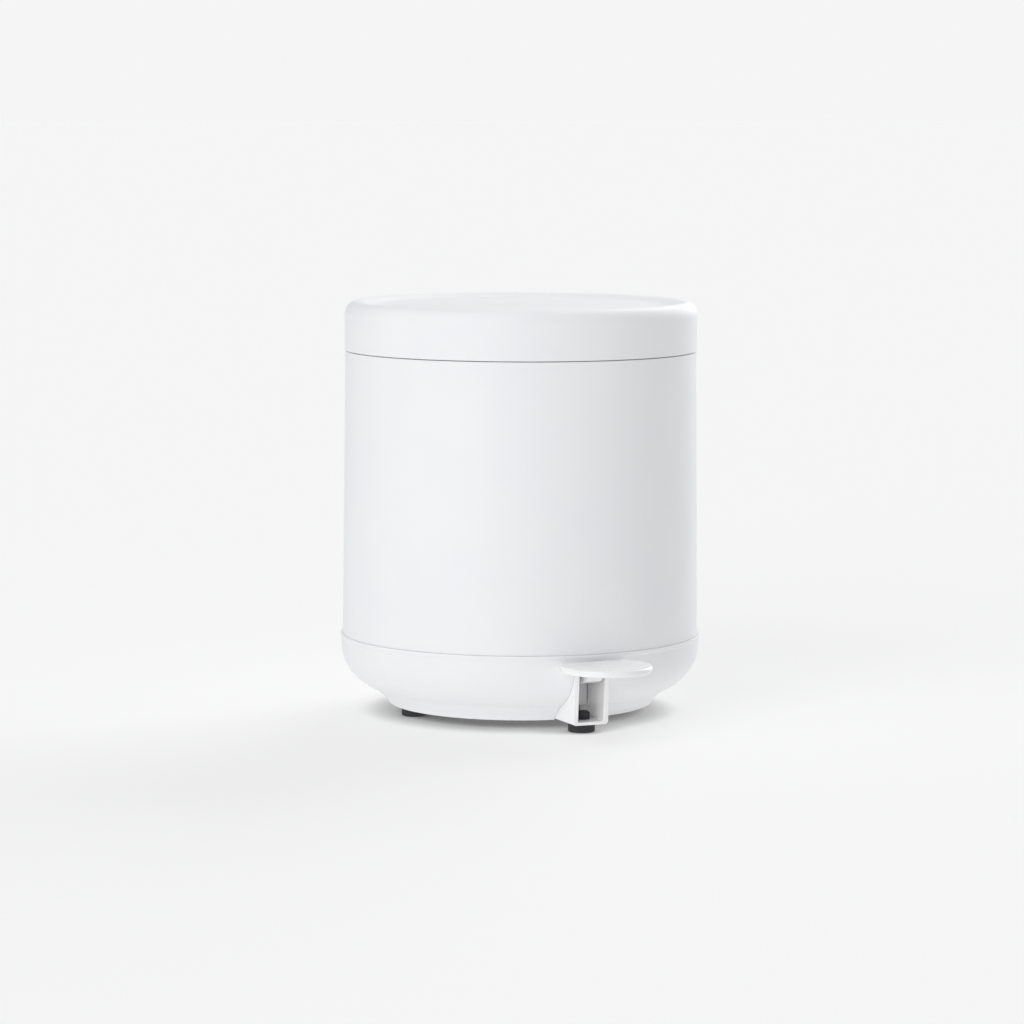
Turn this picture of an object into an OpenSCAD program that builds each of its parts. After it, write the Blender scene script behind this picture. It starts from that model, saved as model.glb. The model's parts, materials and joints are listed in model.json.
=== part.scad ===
// Round pedal bin with a lift-up lid, a lift-out bucket and a foot pedal.
// Every module draws one piece around the can's own upright axis, with the pedal
// towards -Y and the lid hinge towards +Y, and on_axis() puts it in the frame.
// The frame's origin is on the floor, midway between the pedal's tip and the back.

/* [Housing] */
// Radius of the base bowl at its widest
bowl_r = 100.3; // [99:0.1:102]
// Height of the seam between the base bowl and the shell
bowl_h = 44; // [43:0.5:46]
// Height of the rubber feet, which is the gap under the base
foot_h = 5; // [4.5:0.1:5.5]
// Radius of the foot ring at its lower edge
ring_r = 73.7; // [73:0.1:75]
// Radius of the shell at its lower edge
shell_r_low = 99.6; // [99:0.1:100]
// Radius of the shell at its rim
shell_r_top = 98; // [97.5:0.1:98.5]
// Height of the shell's rim above the floor
shell_top = 202.3; // [202:0.1:203]
// Wall of the shell, the bowl and the lid
wall = 2.3; // [2:0.1:2.5]

/* [Lid] */
// Radius of the lid's side
lid_r = 98.3; // [98:0.1:98.6]
// Height of the closed lid's crest above the floor
lid_top = 229.8; // [228:0.1:231]
// Gap of the seam between the lid and the shell
lid_gap = 0.5; // [0.4:0.1:0.8]
// Width of the rounded shoulder
shoulder_w = 6.5; // [5:0.1:7]
// Height of the rounded shoulder
shoulder_h = 7.4; // [6:0.1:8]
// Depth of the dished top under its crest
dish = 2.2; // [1:0.1:2.5]
// How far the lid opens
lid_open = 80; // [76:1:82]

/* [Pedal] */
// Radius of the round pedal
pedal_r = 25; // [24:0.5:26]
// Distance of the pedal's centre from the can's axis
pedal_reach = 117.9; // [117:0.1:119]
// Height of the pedal's upper face
pedal_top = 40.7; // [39.5:0.1:41.5]
// Thickness of the pedal
pedal_t = 3.5; // [3:0.1:4]
// Width of the pedal's neck
neck_w = 9; // [8:0.5:10]
// Outer width of the channel that the neck moves in
channel_w = 20.8; // [20:0.1:22]

/* [Bucket] */
// Outer radius of the bucket under its flange
bucket_r = 79; // [78.5:0.1:79.2]
// Height of the bucket's underside
bucket_z = 47; // [47:0.5:55]
// Wall of the bucket
bucket_wall = 1.8; // [1.5:0.1:2]

/* [Hidden] */

$fn = 64;
e = 0.01;

// Finishes
soft_white = "#f0f1f3";
gloss_white = "#fafafa";
natural_white = "#e4e3dc";
pale_grey = "#c9cccf";
rubber_black = "#26262a";
steel = "#a9adb2";

// Base bowl: an elliptical quarter between the side and the foot ring
bead = 0.5;
arc_w = 31.5;
arc_h = 26.9;
arc_z = bowl_h - 6.1;
arc_end = 66;
ring_top_r = bowl_r - arc_w * (1 - cos(arc_end));
ring_top_z = arc_z - arc_h * sin(arc_end);
spigot_h = 7;

// The frame's origin is midway along Y between the pedal's tip and the back of the bowl
can_y = (pedal_reach + pedal_r - bowl_r - bead) / 2;

// Base plate
plate_low = foot_h + 0.6;
plate_high = foot_h + 3;
plate_r = ring_r - wall - 0.3;
foot_ring = 64;
foot_r = 7;
stem_r = 3;
base_screw_ring = 65;

// Pedal channel
channel_wall = 3;
channel_front = bowl_r - 2;
channel_back = 66;
floor_back = 78.5;
rear_wall = 71.5;
channel_top = bowl_h - 8.3;
channel_low = foot_h + 0.2;
channel_floor = 1.8;
slot_half = channel_w / 2 + 0.15;
front_foot_y = -85.8;
bumper_top = 11.4;

// Lever and its pivot
pivot_y = -15;
pivot_z = 20;
pivot_r = 2;
post_in = 9;
post_out = 15;
post_half = 8.5;
cap_h = 5;
pad_r = 4;
pad_z = 25;

// Hinge: the axis lies inside the rear of the lid, so the knuckles end flush with its side
hinge_y = lid_r - 4.3;
hinge_z = shell_top + 8.7;
knuckle_r = 4.2;
hinge_pin_r = 1.5;
lid_knuckle = 8;
hinge_half = 19.5;
notch_half = hinge_half + 2.5;

// Horn and push rod
horn = 14.3;
horn_t = 4;
horn_pin_r = 1.5;
rod_y = hinge_y - horn * cos(lid_open / 2);
horn_z = hinge_z - horn * sin(lid_open / 2);
rod_t = 3;
rod_w = 10.8;
rod_low = pad_z + pad_r + 0.4;
slide_half = 2.1;
fork_low = horn_z - 7.4;

// Damper beside the push rod
damper_x = 15;
damper_r = 5;
damper_bore = 4.1;
damper_low = 93;
damper_high = 137;
lug_z = 66;

// Lid inside
skirt_low = shell_top + lid_gap;
liner_low = hinge_z + knuckle_r + 1;
liner_t = 2;
liner_post_r = 2.2;

// Rim collar and bucket
collar_high = shell_top - 1.3;
collar_t = 2;
lip_high = shell_top + 1.7;
collar_r = shell_r_top - wall - 0.1;
bucket_y = -9;
seat_r = bucket_r + 1.9;
flange_r = bucket_r + 3.6;
flange_low = collar_high + 0.1;
flange_t = 1.6;
bail_r = 72.8;
bail_z = 197;
bail_wire = 1.5;
grip_r = 3.2;

// ---- helpers ----

module on_axis() {
    translate([0, can_y, 0]) children();
}

// Upright ring or disc
module ring(r_out, r_in, z_low, z_high) {
    difference() {
        translate([0, 0, z_low]) cylinder(r = r_out, h = z_high - z_low);
        if (r_in > 0) translate([0, 0, z_low - 1]) cylinder(r = r_in, h = z_high - z_low + 2);
    }
}

// Cylinder along X, centred on x = 0 at the given y and z
module rod_x(r, length, y, z) {
    translate([-length / 2, y, z]) rotate([0, 90, 0]) cylinder(r = r, h = length);
}

// Block between two corners
module block(a, b) {
    translate(a) cube(b - a);
}

// The same shape on both sides of the YZ plane
module both_sides() {
    children();
    mirror([1, 0, 0]) children();
}

// Side view in (y, z), extruded along X to the given width
module side_plate(points, width) {
    translate([-width / 2, 0, 0])
        rotate([90, 0, 90])
            linear_extrude(width) polygon(points);
}

// Pan-head screw standing on the XY plane: the head is above it and the shank below
module pan_screw(shank_r, length, head_r, head_h) {
    difference() {
        union() {
            translate([0, 0, -length]) cylinder(r = shank_r, h = length + e);
            cylinder(r1 = head_r, r2 = head_r * 0.8, h = head_h);
        }
        for (turn = [0, 90])
            rotate(turn)
                translate([-head_r * 0.6, -head_r * 0.12, head_h * 0.45])
                    cube([head_r * 1.2, head_r * 0.24, head_h]);
    }
}

// Points of the bowl's outer side, from the top of the arc down to the foot ring
function bowl_arc(inset) =
    [for (i = [0:9]) let (a = arc_end * i / 9)
        [bowl_r - inset - (arc_w - inset) * (1 - cos(a)), arc_z - (arc_h - inset) * sin(a)]];

function reversed(list) = [for (i = [len(list) - 1:-1:0]) list[i]];

// ---- lid ----

// Outer outline of the lid from the skirt over the shoulder to the dished top
function lid_outline(inset) = concat(
    [[lid_r - inset, skirt_low]],
    [for (i = [0:8]) let (a = 90 * i / 8)
        [lid_r - shoulder_w + (shoulder_w - inset) * cos(a),
         lid_top - shoulder_h + (shoulder_h - inset) * sin(a)]],
    [for (i = [1:5]) let (a = 180 * i / 5)
        [lid_r - shoulder_w - 14 * i / 5, lid_top - inset - dish * (1 - cos(a)) / 2]],
    [[0, lid_top - inset - dish]]);

module lid_shell() {
    color(soft_white) on_axis() difference() {
        rotate_extrude() polygon(concat(lid_outline(0), reversed(lid_outline(wall))));
        // Notch for the hinge knuckles
        block([-notch_half, 80, skirt_low - 1], [notch_half, lid_r + 1, hinge_z]);
        rod_x(knuckle_r + 0.6, 2 * notch_half, hinge_y, hinge_z);
    }
}

module lid_liner() {
    color(gloss_white) on_axis() {
        difference() {
            union() {
                ring(lid_r - wall - 0.2, 0, liner_low, liner_low + liner_t);
                // Posts that come down on the rubber bumpers
                for (turn = bumper_turns)
                    rotate(turn) translate([0, -bumper_ring, 0])
                        ring(liner_post_r, 0, skirt_low + 0.2, liner_low + e);
                // Stiffening ring on the upper side
                ring(60, 58, liner_low + liner_t - e, lid_top - wall - dish - 0.2);
            }
            for (spot = arm_screw_spots)
                translate([spot[0], spot[1], liner_low - 1]) cylinder(r = 1.25, h = liner_t + 2);
        }
    }
}

arm_screw_spots = [[-11, 62], [11, 62], [-11, 76], [11, 76]];
arm_low = liner_low - 3.4;

module lid_hinge_arm() {
    color(gloss_white) on_axis() difference() {
        union() {
            rod_x(knuckle_r, 2 * lid_knuckle, hinge_y, hinge_z);
            block([-lid_knuckle, 78, arm_low], [lid_knuckle, hinge_y, liner_low - 0.1]);
            block([-16, 56, arm_low], [16, 82, liner_low - 0.1]);
            // Horn that the push rod lifts
            translate([-horn_t / 2, hinge_y, hinge_z])
                rotate([lid_open / 2, 0, 0])
                    translate([0, -horn, -3.5]) cube([horn_t, horn, 7]);
            rod_x(3.8, horn_t, rod_y, horn_z);
        }
        rod_x(hinge_pin_r + 0.06, 2 * lid_knuckle + 2, hinge_y, hinge_z);
        rod_x(horn_pin_r + 0.02, horn_t + 2, rod_y, horn_z);
        for (spot = arm_screw_spots)
            translate([spot[0], spot[1], arm_low - 1]) cylinder(r = 1.6, h = 6);
    }
}

module horn_pin() {
    color(steel) on_axis() rod_x(horn_pin_r, rod_w - 0.4, rod_y, horn_z);
}

module lid_screws() {
    color(steel) on_axis()
        for (spot = arm_screw_spots)
            translate([spot[0], spot[1], arm_low - 0.1])
                mirror([0, 0, 1]) pan_screw(1.2, 5.4, 2.8, 1.6);
}

// ---- housing ----

module body_shell() {
    low = bowl_h + 0.1;
    color(soft_white) on_axis() rotate_extrude()
        polygon([[shell_r_low, low + 0.3], [shell_r_top, shell_top - 0.3], [shell_r_top - 0.3, shell_top],
                 [shell_r_top - wall, shell_top], [shell_r_low - wall, low], [shell_r_low - 0.3, low]]);
}

module rim_collar() {
    color(gloss_white) on_axis() difference() {
        union() {
            ring(collar_r, 0, collar_high - collar_t, collar_high);
            ring(collar_r, collar_r - wall, collar_high - 13, collar_high - collar_t + e);
            translate([0, bucket_y, 0]) ring(seat_r + 1.8, 0, collar_high - 11, collar_high - collar_t + e);
            // Lip behind the seam under the lid, left out at the back where the lid swings forwards
            difference() {
                ring(collar_r, collar_r - 1.8, collar_high - e, lip_high);
                block([-100, 40, collar_high], [100, 100, lip_high + 1]);
            }
        }
        translate([0, bucket_y, 0]) ring(seat_r, 0, collar_high - 20, collar_high + 1);
        // Gaps for the hinge bracket and for the head of the push rod
        block([-hinge_half - 0.3, 88, collar_high - 20], [hinge_half + 0.3, 100, collar_high + 1]);
        block([-7, 73.4, collar_high - 20], [7, 90, collar_high + 1]);
        both_sides() translate([25, 86.5, collar_high - 3]) cylinder(r = 1.6, h = 4);
        for (turn = bumper_turns)
            rotate(turn) translate([0, -bumper_ring, collar_high - 3]) cylinder(r = 0.95, h = 4);
    }
}

bumper_turns = [-60, 60, -140, 140];
bumper_ring = 90.8;

module lid_bumpers() {
    color(rubber_black) on_axis()
        for (turn = bumper_turns)
            rotate(turn) translate([0, -bumper_ring, 0]) {
                translate([0, 0, collar_high]) cylinder(r = 1.5, h = skirt_low - collar_high + 0.1);
                translate([0, 0, collar_high - 1.5]) cylinder(r = 0.9, h = 1.5 + e);
            }
}

module hinge_bracket() {
    color(gloss_white) on_axis() difference() {
        union() {
            both_sides() {
                translate([lid_knuckle + 0.3, hinge_y, hinge_z])
                    rotate([0, 90, 0]) cylinder(r = knuckle_r, h = hinge_half - lid_knuckle - 0.3);
                block([lid_knuckle + 0.3, 90.5, collar_high - 5], [hinge_half, 93.2, hinge_z]);
                block([lid_knuckle + 0.3, 93.1, shell_top + 0.2], [hinge_half, 96, hinge_z]);
            }
            // Foot inside the rim, and its ears under the collar, which take the screws
            block([-hinge_half, 90.5, collar_high - 24], [hinge_half, 93.2, collar_high - 4]);
            both_sides() {
                block([hinge_half - 3, 83, collar_high - 6], [hinge_half, 91, collar_high - collar_t - 0.1]);
                block([hinge_half - 1, 83, collar_high - 6], [29, 88.4, collar_high - collar_t - 0.1]);
            }
        }
        rod_x(hinge_pin_r + 0.02, 60, hinge_y, hinge_z);
        both_sides() translate([25, 86.5, collar_high - 7]) cylinder(r = 1.25, h = 6);
    }
}

module hinge_pin() {
    color(steel) on_axis() rod_x(hinge_pin_r, 2 * hinge_half - 1, hinge_y, hinge_z);
}

module hinge_screws() {
    color(steel) on_axis() both_sides()
        translate([25, 86.5, collar_high + 0.05]) pan_screw(1.2, 5.8, 2.6, 1.4);
}

module base_bowl() {
    color(soft_white) on_axis() difference() {
        union() {
            rotate_extrude() polygon(concat(
                [[bowl_r + bead - 0.4, bowl_h], [bowl_r + bead, bowl_h - 0.5], [bowl_r + bead, bowl_h - 1.5],
                 [bowl_r, bowl_h - 2.1]],
                bowl_arc(0),
                [[ring_top_r - 0.9, ring_top_z - 0.9], [ring_r + 1.2, foot_h + 2.2], [ring_r, foot_h],
                 [ring_r - wall, foot_h], [ring_r - wall + 0.6, foot_h + 5]],
                reversed(bowl_arc(wall)),
                [[bowl_r - wall - 0.6, bowl_h - 3], [shell_r_low - wall - 2.4, bowl_h - 1],
                 [shell_r_low - wall - 2.4, bowl_h + spigot_h], [shell_r_low - wall - 0.4, bowl_h + spigot_h],
                 [shell_r_low - wall - 0.3, bowl_h]]));
            // Tabs that the base plate is screwed to
            for (turn = [45, 135, 225, 315])
                rotate(turn)
                    block([-5, base_screw_ring - 5, plate_high + 0.1], [5, ring_r - 0.5, plate_high + 5]);
        }
        // Slot for the pedal channel
        block([-slot_half, -110, foot_h - 1], [slot_half, -60, channel_top + 0.2]);
        for (turn = [45, 135, 225, 315])
            rotate(turn) translate([0, base_screw_ring, plate_high - 1]) cylinder(r = 1.25, h = 8);
    }
}

module base_plate() {
    color(gloss_white) on_axis() difference() {
        union() {
            ring(plate_r, 0, plate_low, plate_high);
            both_sides()
                block([post_in, pivot_y - post_half, plate_high - e],
                      [post_out, pivot_y + post_half, pivot_z]);
            // Ribs across the plate
            both_sides() block([24, -50, plate_high - e], [26, 50, plate_high + 4]);
            for (y = [-34, 10, 40])
                block([-26, y - 1, plate_high - e], [26, y + 1, plate_high + 2]);
        }
        rod_x(pivot_r + 0.05, 40, pivot_y, pivot_z);
        block([-slot_half, -90, 0], [slot_half, -channel_back + 0.2, 20]);
        for (turn = [90, 180, 270])
            rotate(turn) translate([0, -foot_ring, 0]) cylinder(r = stem_r + 0.05, h = 20);
        for (turn = [45, 135, 225, 315])
            rotate(turn) translate([0, base_screw_ring, 0]) cylinder(r = 1.6, h = 20);
        both_sides() for (side = [-1, 1])
            translate([12, pivot_y + side * 5.8, pivot_z - 8]) cylinder(r = 1.05, h = 9);
    }
}

module base_screws() {
    color(steel) on_axis()
        for (turn = [45, 135, 225, 315])
            rotate(turn) translate([0, base_screw_ring, plate_low - 0.05])
                mirror([0, 0, 1]) pan_screw(1.2, 7, 3, 1.4);
}

// Upright foot, turned: a pad on the floor, a stem through a hole and a head over it
module foot(pad_radius, pad_high, head_low, head_high, head_radius, head_edge) {
    rotate_extrude()
        polygon([[0, 0], [pad_radius - 0.8, 0], [pad_radius, 0.8], [pad_radius, pad_high], [stem_r, pad_high],
                 [stem_r, head_low], [head_radius, head_low], [head_radius, head_high - head_edge],
                 [head_radius - head_edge, head_high], [0, head_high]]);
}

module rubber_feet() {
    color(rubber_black) on_axis()
        for (turn = [90, 180, 270])
            rotate(turn) translate([0, -foot_ring, 0])
                foot(foot_r, plate_low - 0.05, plate_high + 0.05, plate_high + 2, 4.2, 0.8);
}

module pedal_channel() {
    edge = 1.8;
    half = channel_w / 2;
    color(gloss_white) on_axis() difference() {
        intersection() {
            // Side view: the front edge leans out to meet the bowl's side at the top
            side_plate([[-channel_back, channel_low], [-channel_front, channel_low],
                        [-bowl_r, channel_top - 1.5], [-bowl_r, channel_top], [-channel_back, channel_top]],
                       channel_w);
            // Front view with rounded lower edges
            rotate([90, 0, 0]) translate([0, 0, 50]) linear_extrude(60) union() {
                translate([-half, channel_low + edge]) square([channel_w, 60]);
                translate([-half + edge, channel_low]) square([channel_w - 2 * edge, 60]);
                for (side = [-1, 1])
                    translate([side * (half - edge), channel_low + edge]) circle(r = edge);
            }
        }
        // Space between the walls, the opening in the floor for the pedal's shutter, and the gap in
        // the rear wall for the lever
        block([-half + channel_wall, -110, channel_low + channel_floor],
              [half - channel_wall, -rear_wall, 60]);
        block([-half + channel_wall, -floor_back, 0], [half - channel_wall, -rear_wall, 20]);
        block([-neck_w / 2 - 1.2, -80, channel_low + channel_floor + 2], [neck_w / 2 + 1.2, -60, 60]);
        translate([0, front_foot_y, 0]) cylinder(r = stem_r + 0.05, h = 20);
    }
}

module front_foot() {
    color(rubber_black) on_axis() translate([0, front_foot_y, 0])
        foot(7.4, channel_low - 0.05, channel_low + channel_floor + 0.05, bumper_top, 4.5, 1.3);
}

module pivot_caps() {
    color(natural_white) on_axis() difference() {
        both_sides()
            block([post_in, pivot_y - post_half, pivot_z + 0.05],
                  [post_out, pivot_y + post_half, pivot_z + cap_h]);
        rod_x(pivot_r + 0.05, 40, pivot_y, pivot_z);
        both_sides() for (side = [-1, 1])
            translate([12, pivot_y + side * 5.8, pivot_z - 8]) cylinder(r = 1.3, h = 20);
    }
}

module pivot_screws() {
    color(steel) on_axis() both_sides() for (side = [-1, 1])
        translate([12, pivot_y + side * 5.8, pivot_z + cap_h + 0.05]) pan_screw(1, 10, 2.2, 1.4);
}

guide_heights = [55, 150];
module rod_guides() {
    color(natural_white) on_axis() for (z = guide_heights) difference() {
        intersection() {
            block([-9, rod_y - 3.2, z], [9, 100, z + 9]);
            ring(shell_r_top - wall - 0.1, 0, 0, 220);
        }
        block([-rod_w / 2 - 0.35, rod_y - rod_t / 2 - 0.35, z - 1],
              [rod_w / 2 + 0.35, rod_y + rod_t / 2 + 0.35, z + 10]);
    }
}

module damper_clip() {
    z = damper_low + 12;
    color(natural_white) on_axis() difference() {
        intersection() {
            union() {
                translate([damper_x, rod_y, 0]) ring(damper_r + 2.2, 0, z, z + 14);
                block([damper_x - 4, rod_y, z], [damper_x + 4, 100, z + 14]);
            }
            ring(shell_r_top - wall - 0.1, 0, 0, 220);
        }
        translate([damper_x, rod_y, 0]) ring(damper_r + 0.05, 0, z - 1, z + 15);
    }
}

module damper_cylinder() {
    color(rubber_black) on_axis() translate([damper_x, rod_y, 0]) difference() {
        ring(damper_r, 0, damper_low, damper_high);
        ring(damper_bore, 0, damper_low + 2, damper_high - 2);
        ring(1.6, 0, damper_low - 1, damper_low + 3);
    }
}

// ---- pedal ----

module pedal_plate() {
    low = pedal_top - pedal_t;
    edge = 0.9;
    color(gloss_white) on_axis() {
        difference() {
            translate([0, -pedal_reach, 0]) rotate_extrude()
                polygon([[0, low], [pedal_r - edge, low], [pedal_r, low + edge],
                         [pedal_r, pedal_top - edge], [pedal_r - edge, pedal_top], [0, pedal_top]]);
            // Hollow edge that follows the bowl with a gap
            ring(bowl_r + 1.4, 0, low - 1, pedal_top + 1);
        }
        // Neck that goes in through the channel, and the shutter on it that closes the gap behind it
        difference() {
            union() {
                side_plate([[-110, low + e], [-108, low - 3], [-102, 29.6], [-97, 28.2], [-84, 26],
                            [-70, 23.6], [-70, 30], [-88, 33.2], [-98, 34.2],
                            [-100.7, 34.6], [-101.8, low - 0.2], [-101.9, low + 1]],
                           neck_w);
                block([-shutter_half, -77.3, shutter_low], [shutter_half, -74.8, 30.5]);
            }
            for (y = pedal_screw_spots)
                translate([0, y, 0]) cylinder(r = 1.25, h = 60);
        }
    }
}

pedal_screw_spots = [-81, -72.5];
lever_tip = 34.7;
lever_slope = 0.13;
shutter_half = channel_w / 2 - channel_wall - 0.35;
shutter_low = 13;

module pedal_lever() {
    arm = neck_w / 2;
    color(natural_white) on_axis() difference() {
        union() {
            rod_x(6, 2 * post_in - 0.8, pivot_y, pivot_z);
            side_plate([[-84, 32.8], [-84, lever_tip], [-60, lever_tip - 24 * lever_slope],
                        [-20, pivot_z + 6], [-8, pivot_z + 6], [72, pad_z + 3.6],
                        [rod_y, pad_z + pad_r - 0.2], [rod_y, pad_z - 3], [70, pad_z - 4],
                        [0, pivot_z - 5.5], [-20, pivot_z - 5.5], [-68, 21.4], [-69.6, 22], [-69.6, 30.4]],
                       neck_w);
            rod_x(pad_r, 14, rod_y, pad_z);
        }
        rod_x(pivot_r + 0.01, 60, pivot_y, pivot_z);
        for (y = pedal_screw_spots)
            translate([0, y, 0]) cylinder(r = 1.6, h = 60);
        // Weight-saving pockets on each flank
        both_sides() block([arm - 2.5, 8, pivot_z - 2], [arm + 1, 60, pivot_z + 4]);
    }
}

module pedal_pin() {
    color(steel) on_axis() rod_x(pivot_r, 2 * post_out + 1, pivot_y, pivot_z);
}

module pedal_screws() {
    color(steel) on_axis()
        for (y = pedal_screw_spots)
            translate([0, y, lever_tip + 0.05 - (y + 84) * lever_slope]) pan_screw(1.2, 9, 1.7, 1.2);
}

// ---- push rod ----

module push_rod() {
    top = horn_z + slide_half + 1.8;
    swing = horn * (1 - cos(lid_open / 2));
    front = rod_y - swing - slide_half - 1.8;
    back = rod_y + slide_half + 1.8;
    color(natural_white) on_axis() difference() {
        union() {
            block([-rod_w / 2, rod_y - rod_t / 2, rod_low], [rod_w / 2, rod_y + rod_t / 2, fork_low + 4]);
            block([-7, rod_y - 4.5, rod_low], [7, rod_y + 4.5, rod_low + 3.5]);
            block([-rod_w / 2, front, horn_z - slide_half - 1.8], [rod_w / 2, back, top]);
            // Lug that carries the damper's plunger
            block([0, rod_y - rod_t / 2, lug_z], [damper_x + 4, rod_y + rod_t / 2, lug_z + 5]);
        }
        // Gap of the fork, which the horn moves in
        block([-horn_t / 2 - 0.4, front - 1, fork_low], [horn_t / 2 + 0.4, back + 1, top + 1]);
        // Level slot that the horn's pin slides along
        rod_x(slide_half, 30, rod_y, horn_z);
        rod_x(slide_half, 30, rod_y - swing, horn_z);
        block([-15, rod_y - swing, horn_z - slide_half], [15, rod_y, horn_z + slide_half]);
        translate([damper_x, rod_y, lug_z - 1]) cylinder(r = 1.25, h = 8);
    }
}

module damper_plunger() {
    color(steel) on_axis() translate([damper_x, rod_y, 0]) {
        translate([0, 0, lug_z]) cylinder(r = 1.22, h = 6);
        translate([0, 0, lug_z + 5.1]) cylinder(r = 1.5, h = damper_low - lug_z);
        translate([0, 0, damper_low + 4]) cylinder(r = damper_bore - 0.08, h = 4);
    }
}

// ---- bucket ----

module inner_bucket() {
    t = bucket_wall;
    low_r = bucket_r - 7;
    step = bail_z - 2.4;
    color(pale_grey) on_axis() translate([0, bucket_y, 0]) difference() {
        union() {
            rotate_extrude() polygon([
                [0, bucket_z], [low_r - 3, bucket_z], [low_r, bucket_z + 3], [bucket_r - 2.4, step - 2],
                [bucket_r, step + 0.5], [bucket_r, flange_low], [flange_r - 0.5, flange_low],
                [flange_r, flange_low + 0.5], [flange_r, flange_low + flange_t - 0.5],
                [flange_r - 0.5, flange_low + flange_t], [bucket_r - t + 0.4, flange_low + flange_t],
                [bucket_r - t, flange_low + flange_t - 0.4], [bucket_r - t, step + 1],
                [bucket_r - 2.4 - t, step - 1.2], [low_r - t, bucket_z + 3.8], [low_r - 3.6, bucket_z + 2],
                [0, bucket_z + 2]]);
            // Rests under the folded handle
            both_sides() block([69, -17, step - 2], [bucket_r - 2.7, -13, bail_z - bail_wire - 0.2]);
        }
        // Flat at the back of the flange, beside the push rod
        block([-60, 81.3, flange_low - 0.05], [60, 100, flange_low + 5]);
        rod_x(bail_wire + 0.08, 200, 0, bail_z);
    }
}

module bail_handle() {
    color(steel) on_axis() translate([0, bucket_y, bail_z]) {
        rotate(180) rotate_extrude(angle = 180) translate([bail_r, 0]) circle(r = bail_wire);
        both_sides() translate([bail_r - 0.7, 0, 0])
            rotate([0, 90, 0]) cylinder(r = bail_wire, h = bucket_r - bail_r - 0.5);
    }
}

module bail_grip() {
    color(gloss_white) on_axis() translate([0, bucket_y, bail_z]) rotate(240)
        rotate_extrude(angle = 60) translate([bail_r, 0]) difference() {
            circle(r = grip_r);
            circle(r = bail_wire + 0.03);
        }
}

lid_shell();
lid_liner();
lid_hinge_arm();
horn_pin();
lid_screws();
body_shell();
rim_collar();
lid_bumpers();
hinge_bracket();
hinge_pin();
hinge_screws();
base_bowl();
base_plate();
base_screws();
rubber_feet();
pedal_channel();
front_foot();
pivot_caps();
pivot_screws();
rod_guides();
damper_clip();
damper_cylinder();
pedal_plate();
pedal_lever();
pedal_pin();
pedal_screws();
push_rod();
damper_plunger();
inner_bucket();
bail_handle();
bail_grip();
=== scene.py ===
"""Looks of a round pedal bin: its moulded shells, pedal, feet, bucket and linkage, around the CAD part.

Points of every new surface are worked out in millimetres around the bin's own upright axis, with the
pedal towards -Y and the hinge towards +Y, and go into the frame, in metres, when the mesh is made.
"""
import json
import math

import bmesh
import bpy
import numpy as np
from mathutils import Matrix, Vector


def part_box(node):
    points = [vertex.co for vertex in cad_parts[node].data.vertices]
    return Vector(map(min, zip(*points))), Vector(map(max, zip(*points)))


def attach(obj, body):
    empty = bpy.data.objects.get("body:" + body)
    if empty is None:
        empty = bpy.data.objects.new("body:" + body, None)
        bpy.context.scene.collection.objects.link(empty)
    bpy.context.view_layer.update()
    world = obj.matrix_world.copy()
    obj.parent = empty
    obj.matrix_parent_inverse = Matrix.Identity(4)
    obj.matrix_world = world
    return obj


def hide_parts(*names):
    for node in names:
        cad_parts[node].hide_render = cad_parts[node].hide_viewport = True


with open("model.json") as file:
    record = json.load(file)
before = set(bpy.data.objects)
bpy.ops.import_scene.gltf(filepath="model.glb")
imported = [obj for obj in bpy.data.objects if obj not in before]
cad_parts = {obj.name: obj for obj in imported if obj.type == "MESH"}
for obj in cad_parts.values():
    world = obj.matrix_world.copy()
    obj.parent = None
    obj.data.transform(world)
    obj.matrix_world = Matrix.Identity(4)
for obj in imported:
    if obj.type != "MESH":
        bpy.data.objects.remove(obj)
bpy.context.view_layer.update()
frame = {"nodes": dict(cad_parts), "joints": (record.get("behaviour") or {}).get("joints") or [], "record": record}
MM = 0.001


# ---- sizes from the frame, in millimetres ----

AXIS_Y = sum(corner[1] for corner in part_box("body_shell")) / 2 / MM


def node_box(node):
    """Lowest and highest corner of a CAD node, around the bin's axis."""
    return [np.array(corner) / MM - [0, AXIS_Y, 0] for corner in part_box(node)]


def joint_place(name):
    """Point on a joint's axis, around the bin's axis."""
    joint = next(j for j in frame["joints"] if j["name"] == name)
    return np.array(joint["pos_m"]) / MM - [0, AXIS_Y, 0]


WALL = 2.3
LID_LOW, LID_HIGH = node_box("lid_shell")
LID_R, LID_SKIRT, LID_TOP = LID_HIGH[0], LID_LOW[2], LID_HIGH[2]
SHELL_LOW, SHELL_HIGH = node_box("body_shell")
SHELL_R_LOW, SHELL_R_TOP = SHELL_HIGH[0], SHELL_HIGH[0] - 1.6
BOWL_LOW, BOWL_HIGH = node_box("base_bowl")
BEAD_R, BOWL_R = BOWL_HIGH[0], BOWL_HIGH[0] - 0.5
BOWL_H = SHELL_LOW[2] - 0.1
HINGE = joint_place("lid_hinge")
BAIL = joint_place("bail_swing")
PEDAL_LOW, PEDAL_HIGH = node_box("pedal_plate")
PEDAL_R = PEDAL_HIGH[0]
PEDAL_Y = PEDAL_LOW[1] + PEDAL_R
CHANNEL_LOW, CHANNEL_HIGH = node_box("pedal_channel")
FRONT_FOOT_LOW, FRONT_FOOT_HIGH = node_box("front_foot")
FEET_HIGH = node_box("rubber_feet")[1]
GRIP_LOW, GRIP_HIGH = node_box("bail_grip")

AROUND = 288


# ---- outlines ----

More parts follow.
